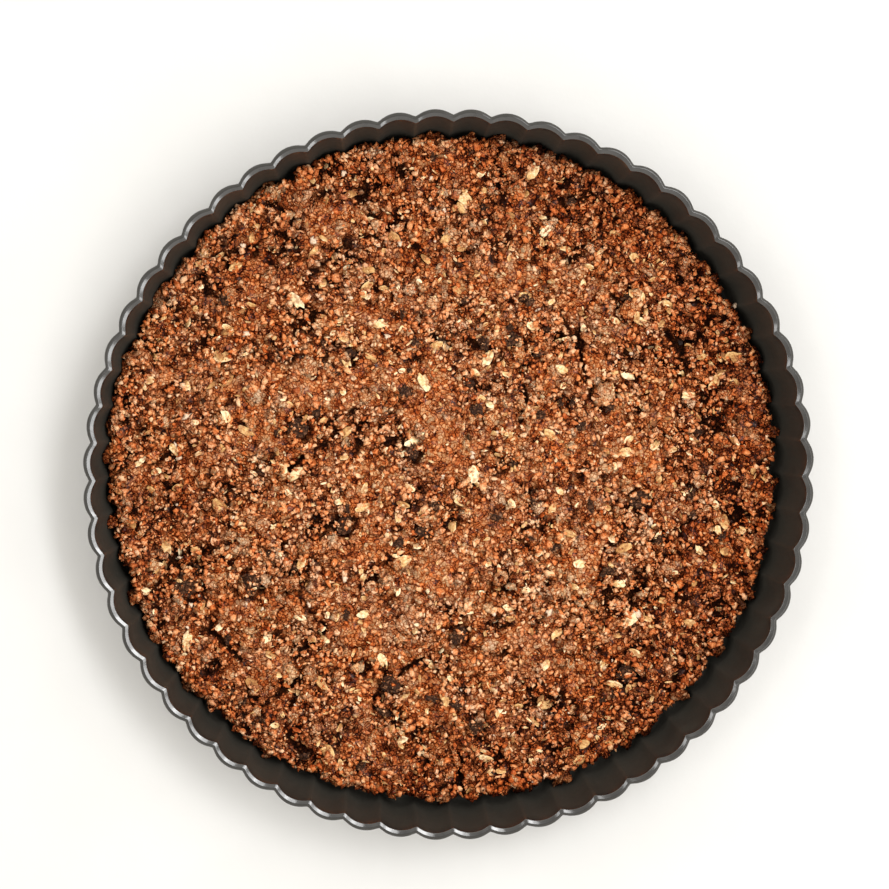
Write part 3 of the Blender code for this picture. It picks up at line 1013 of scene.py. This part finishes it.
toppings = solid_toppings()
print({kind: sum(t[0] == kind for t in toppings) for kind in ("flake", "clump", "lump")})

# %% [markdown]
# ## Clumps and raisins
#
# A clump is many crumbs stuck together, so it is a ball whose surface is pushed out by small cells. A raisin
# is a shrunken skin: its folds run between its ends, and it is nearly black with a dull sheen, painted
# darker in its folds as shade and with painted glints on its ridges. Both are pressed into the crust up to
# their shoulders. Smaller dark bits are torn from the same raisins.

# %% Make the clumps and raisins
RAISINS = [True] * 12 + [False] * 4
FINE_BALL = broken_bit(4, 0.0, 0)


def swollen(shape, swell):
    """The shape with each point moved out to the share of its distance that swell gives for it."""
    points, triangles = shape
    return points * np.array([swell(Vector(p)) for p in points])[:, None], triangles


def clump_shape(seed):
    """A ball of stuck crumbs."""
    def swell(p):
        near, _ = noise.voronoi(p * 5.2 + Vector((seed * 3.7, 0, 0)))
        crumb = min(1.0, (near[1] - near[0]) * 2) ** 0.6
        return 0.88 + 0.30 * crumb + 0.14 * noise.noise(p * 3 + Vector((0, seed, 0)))
    return swollen(FINE_BALL, swell)


def raisin_shape(seed):
    """A shrunken ball with folds."""
    def swell(p):
        fold = noise.noise(Vector((p[0] * 3.0, p[1] * 9.0, p[2] * 9.0)) + Vector((seed * 5.1, 0, 0)))
        pit = noise.noise(p * 13.0 + Vector((seed * 2.3, 0, 0)))
        form = noise.noise(p * 2.2 + Vector((seed, 0, 0)))
        return 1.0 - 0.42 * abs(fold) ** 0.6 + 0.09 * pit + 0.34 * form
    return swollen(FINE_BALL, swell)


def raisin_bit(seed):
    """A torn bit of raisin: fewer triangles, deeper folds."""
    def swell(p):
        return 1.0 - 0.5 * abs(noise.noise(p * 5.0 + Vector((0, seed * 4.1, 0)))) ** 0.6
    return swollen(broken_bit(3, 1.6, seed + 50), swell)


def lay_toppings(name, wanted, shapes, material, shade, bare):
    """One piece of the solid's toppings of a kind, laid with the solid's own turns and tilts."""
    x, y = np.array([t[1:3] for t in wanted]).T
    sizes = np.array([(t[3], t[4], t[3] * LUMP_FLATNESS) for t in wanted])
    turns = np.array([Euler((*t[5], t[6])).to_matrix() for t in wanted])
    heights = crust_top(x, y) + STANDS_PROUD - sizes[:, 2] / 2
    for k in range(len(x)):
        pad = np.hypot(grid_x - x[k], grid_y - y[k]) / (0.42 * sizes[k, :2].mean())
        under = pad < 1
        pile_map[under] = heights[k] + sizes[k, 2] / 2 * np.sqrt(1 - pad[under] ** 2)
        roof_map[under] = np.maximum(roof_map, pile_map - 0.0001)[under]
        bare_map[under] = bare
    points, triangles, owner, rise = strew(shapes, x, y, heights, sizes, turns)
    # how far each point lies below the crust's surface, from which the finish paints shade on the low sides
    low = points[:, 2] - crust_top(x, y)[owner] - STANDS_PROUD * 0.8
    carries = {**own_looks(x, y, shade, owner, rise), "hollow": low}
    return make_piece(name, points, triangles, material, carries)


bench = Bench("raisin_skin")
skin = bench.noise(0.0009, 4.0, 0.7)
# painted glints: light brown patches on the ridges; the folds are also painted darker as shade
painted_glint = bench.between(bench.noise(0.0011, 4.0, 0.7), 0.50, 0.62)
folds = bench.between(bench.cells(0.0021, "DISTANCE_TO_EDGE"), 0.0, 0.22)
skin_colour = bench.mix(skin * 0.5 + folds * 0.5, "150803", "6a3c20")
skin_colour = bench.mix(painted_glint * folds * 0.8, skin_colour, "b5825c")
raisin_material = bench.topping(skin_colour, skin, (0.30, 0.60), skin * 0.7 + folds * 0.6, 0.0022)
lumps = [t for t in toppings if t[0] == "lump"]
dark_lumps = [t for t, dark in zip(lumps, RAISINS) if dark]
stuck = [t for t in toppings if t[0] == "clump"] + [t for t, dark in zip(lumps, RAISINS) if not dark]
lay_toppings("stuck_clumps", stuck, [clump_shape(s) for s in range(6)], bed_material, (0.50, 0.08), 0.3)
lay_toppings("raisins", dark_lumps, [raisin_shape(s) for s in range(6)], raisin_material, (0.5, 0.0), 0.6)

# the places and sizes of the raisin bits are drawn first, so that few crumbs are strewn on them
bit_x, bit_y = strewn_places(75, 0.006)
bit_sizes = crumb_sizes(75, 0.0028, 0.0066)
for x, y, size in zip(bit_x, bit_y, bit_sizes[:, 0]):
    bare_map[np.hypot(grid_x - x, grid_y - y) < 0.4 * size] = 0.8
lay_crumbs("raisin_bits", [raisin_bit(s) for s in range(8)], bit_x, bit_y, bit_sizes, 0.20, 0.8,
           (0.5, 0.1), raisin_material, True, 0.0016)

# %% [markdown]
# ## The loose crumbs
#
# First come small clumps and the larger crumbs, then the small ones. The oats lie on them, and chips come
# last, since they run into every gap and over the oats.

# %% Drop the larger crumbs
scatter("clumps", clump_shapes, 1300, 0.002, 0.4, 0.0026, 0.0066, 0.30, 0.8, (0.50, 0.15), bed_material)
scatter("crumbs", crumb_shapes, 5800, 0.0008, 0.6, 0.0016, 0.0034, 0.15, 1.3, (0.52, 0.17), crumb_material)
scatter("small_crumbs", crumb_shapes, 6200, 0.0006, 0.75, 0.0010, 0.0020, 0.15, 1.4, (0.51, 0.19),
        crumb_material)

# %% [markdown]
# ## Rolled oats
#
# A rolled oat is a thin oval wafer with a crease down its middle and a frayed edge, toasted tan. It could be
# a flattened ball, but the crease and the curl catch the light, so each flake is made as two skins of rings
# that are cupped and creased. The large ones lie where the solid has them and where they show in the
# photograph. Broken ones and slivers are strewn round them.

# %% Roll the oats
SEEN_FLAKES = [
    (-9, 84), (-30, 99), (-32, 80), (-86, 56), (-93, 35), (-86, 37), (-40, 44), (-41, 53), (-27, 59), (-87, 23),
    (-102, 35), (-83, 81), (-5, 50), (-49, 75), (66, 60), (76, 60), (84, 59), (73, 85), (33, 58), (30, 70),
    (23, 39), (82, 11), (5, 104), (109, 46), (106, 37), (-58, -35), (-59, -56), (-70, -71), (-49, -65),
    (-72, -65), (-34, -13), (-52, -114), (-43, -114), (-33, -55), (-18, -12), (5, -11), (48, -24), (52, -36),
    (68, -44), (110, -20), (116, -23), (110, -30), (24, -53), (74, -72), (61, -101), (52, -114), (43, -64),
    (33, -114),
]
FLAKE_THICK = 0.11
OAT_STOPS = [(0.00, "6e3f1a"), (0.30, "b07c44"), (0.60, "dcb073"), (1.00, "fce6ba")]


def seen(places):
    """The x and y in metres of places that are given in millimetres."""
    return np.array(places).T / 1000


def oat_flake(around, seed):
    """A rolled oat of unit length, lying flat: a cupped, creased wafer, as points and triangles."""
    rand = random.Random(seed)
    shares = (0.45, 0.8, 1.0)
    edge = [1 + rand.uniform(-0.16, 0.10) for _ in range(around)]
    bite = rand.randrange(around)
    edge[bite] *= rand.uniform(0.6, 0.9)
    cup, twist, points = rand.uniform(-0.15, 0.30), rand.uniform(-0.35, 0.35), []
    for skin in (1, -1):
        points.append((0.0, 0.0, skin * 0.045 - 0.02 * (skin > 0)))
        for share in shares:
            for k in range(around):
                turn = math.tau * k / around
                x, y = 0.5 * share * edge[k] * math.cos(turn), 0.34 * share * edge[k] * math.sin(turn)
                crease = 0.05 * math.exp(-((y / 0.05) ** 2)) * (skin > 0)
                thick = 0.045 * skin * (1 - 0.55 * share**3)
                points.append((x, y, thick - crease + cup * (x * x + y * y) + twist * x * y))
    half = 1 + len(shares) * around
    triangles = []
    for start, flip in ((0, False), (half, True)):
        skin = [(start, start + 1 + k, start + 1 + (k + 1) % around) for k in range(around)]
        skin += [tuple(t + start + 1) for t in join_rows(len(shares), around)[:, [0, 2, 1]]]
        triangles += [t[::-1] if flip else t for t in skin]
    top, low = half - around, 2 * half - around
    for k in range(around):
        after = (k + 1) % around
        triangles += [(top + k, low + k, low + after), (top + k, low + after, top + after)]
    return np.array(points), np.array(triangles)


bench = Bench("toasted_oat")
streaks = bench.noise(0.0009, 4.0, 0.6)
dust = bench.between(bench.noise(0.0020, 3.0), 0.48, 0.66)
oat_colour = bench.ramp(bench.carried("shade") + (streaks - 0.5) * 1.2, OAT_STOPS)
oat_colour = bench.mix(dust * 0.65, oat_colour, "8c5029")
# painted shade: oats that lie deep are darkened towards the gap shade colour
gap = bench.between(bench.carried("hollow"), -0.0024, -0.0006, 1.0, 0.0)
oat_material = bench.topping(bench.mix(gap, oat_colour, GAP_SHADE_COLOUR), streaks, (0.5, 0.72), streaks, 0.00045)

whole = [oat_flake(12, seed) for seed in range(12)]
broken = [oat_flake(8, seed) for seed in range(30, 42)]


def lay_oats(name, shapes, x, y, lengths, slim, sink, tilt, shade):
    """One piece of many oats on the bed."""
    sizes = np.stack([lengths, lengths * slim, lengths * chooser.uniform(0.7, 1.1, len(x))], 1)
    return lay_crumbs(name, shapes, x, y, sizes, sink, tilt, shade, oat_material, True, 0.0010, FLAKE_THICK)


flakes = [t for t in toppings if t[0] == "flake"]
x, y = np.concatenate([np.array([t[1:3] for t in flakes]).T, seen(SEEN_FLAKES)], 1)
length = np.concatenate([[t[3] * 0.85 for t in flakes], chooser.uniform(0.0042, 0.0072, len(SEEN_FLAKES))])
lay_oats("oat_flakes", whole, x, y, length, chooser.uniform(0.65, 0.95, len(x)), 0.0, 0.45, (0.68, 0.18))
for name, count, inset, lengths, slim, tilt, shade in (
    ("broken_oats", 330, 0.003, (0.0026, 0.0050), (0.55, 1.0), 0.7, (0.66, 0.20)),
    ("oat_slivers", 600, 0.0015, (0.0018, 0.0038), (0.30, 0.7), 1.2, (0.68, 0.22)),
):
    x, y = strewn_places(count, inset)
    lengths, slim = chooser.uniform(*lengths, count), chooser.uniform(*slim, count)
    lay_oats(name, broken, x, y, lengths, slim, 0.1, tilt, shade)

# %% [markdown]
# ## Chips
#
# The smallest crumbs fall last, and run into every gap that is left.

# %% Drop the chips
scatter("chips", chip_shapes, 11000, 0.0005, 0.8, 0.0006, 0.0015, 0.12, 1.5, (0.50, 0.17), crumb_material,
        headroom=0.0010)

# %% [markdown]
# ## The ragged edge
#
# Clumps stick out of the crust's edge towards the wall at uneven distances, with dark gaps between them.
# Crumbs sit all the way down its side and along its crest. Clumps and crumbs alike get painted shade that
# deepens the lower they sit.

# %% Line the edge
def line_edge(name, shapes, sizes, drop_by, set_in, shade, material):
    """Crumbs in the crust's side. Ranges: drop_by in edge rounds, set_in in the crumb's own lengths."""
    count = len(sizes)
    angles = chooser.uniform(0, math.tau, count)
    high = round_value(round_height, angles)
    z = high - EDGE_ROUND * chooser.uniform(*drop_by, count)
    radius = outline(angles, z) - sizes[:, 0] * chooser.uniform(*set_in, count)
    radius -= np.maximum(0, z - high + EDGE_ROUND) * 0.9
    x, y = across(radius, angles)
    points, triangles, owner, rise = strew(shapes, x, y, z, sizes, random_turns(count, 1.0))
    # painted shade: the lower a crumb sits on the crust's side, the darker
    carries = {**own_looks(x, y, shade, owner, rise), "hollow": 0.55 * (z - high)[owner]}
    make_piece(name, points, triangles, material, carries, False)


line_edge("edge_clumps", [broken_bit(3, 1.3, seed) for seed in range(20, 28)], crumb_sizes(120, 0.0036, 0.0082),
          (0.9, 1.5), (-0.10, 0.50), (0.54, 0.12), bed_material)
line_edge("edge_crumbs", crumb_shapes, crumb_sizes(2900, 0.0012, 0.0036), (0.0, 2.4), (0.0, 0.9), (0.52, 0.22),
          crumb_material)

# %% [markdown]
# ## Bits of nut
#
# A few pale bits show in the photograph. They lie where they show, with smaller ones strewn between.

# %% Strew the bits of nut
SEEN_NUTS = [
    (-41, 117), (-79, 55), (-102, 23), (-105, 7), (-53, 91), (-19, 90), (-24, 54), (113, 66), (-55, -51),
    (-41, -41), (40, -55), (75, -56),
]
bench = Bench("pale_nut")
nut_grain = bench.noise(0.0008, 3.0)
nut_colour = bench.mix(nut_grain, "c9a07c", "f0dcc4")
nut_material = bench.topping(nut_colour, nut_grain, (0.45, 0.65), nut_grain, 0.0002, 0.5)
x, y = np.concatenate([seen(SEEN_NUTS), strewn_places(60, 0.003)], 1)
sizes = np.concatenate([crumb_sizes(len(SEEN_NUTS), 0.0022, 0.0036), crumb_sizes(60, 0.0009, 0.0021)])
lay_crumbs("nut_bits", clump_shapes, x, y, sizes, 0.15, 0.8, (0.5, 0.1), nut_material, True)

# %% [markdown]
# ## The last step
#
# The view layer is brought up to date.

# %% Finish
bpy.context.view_layer.update()
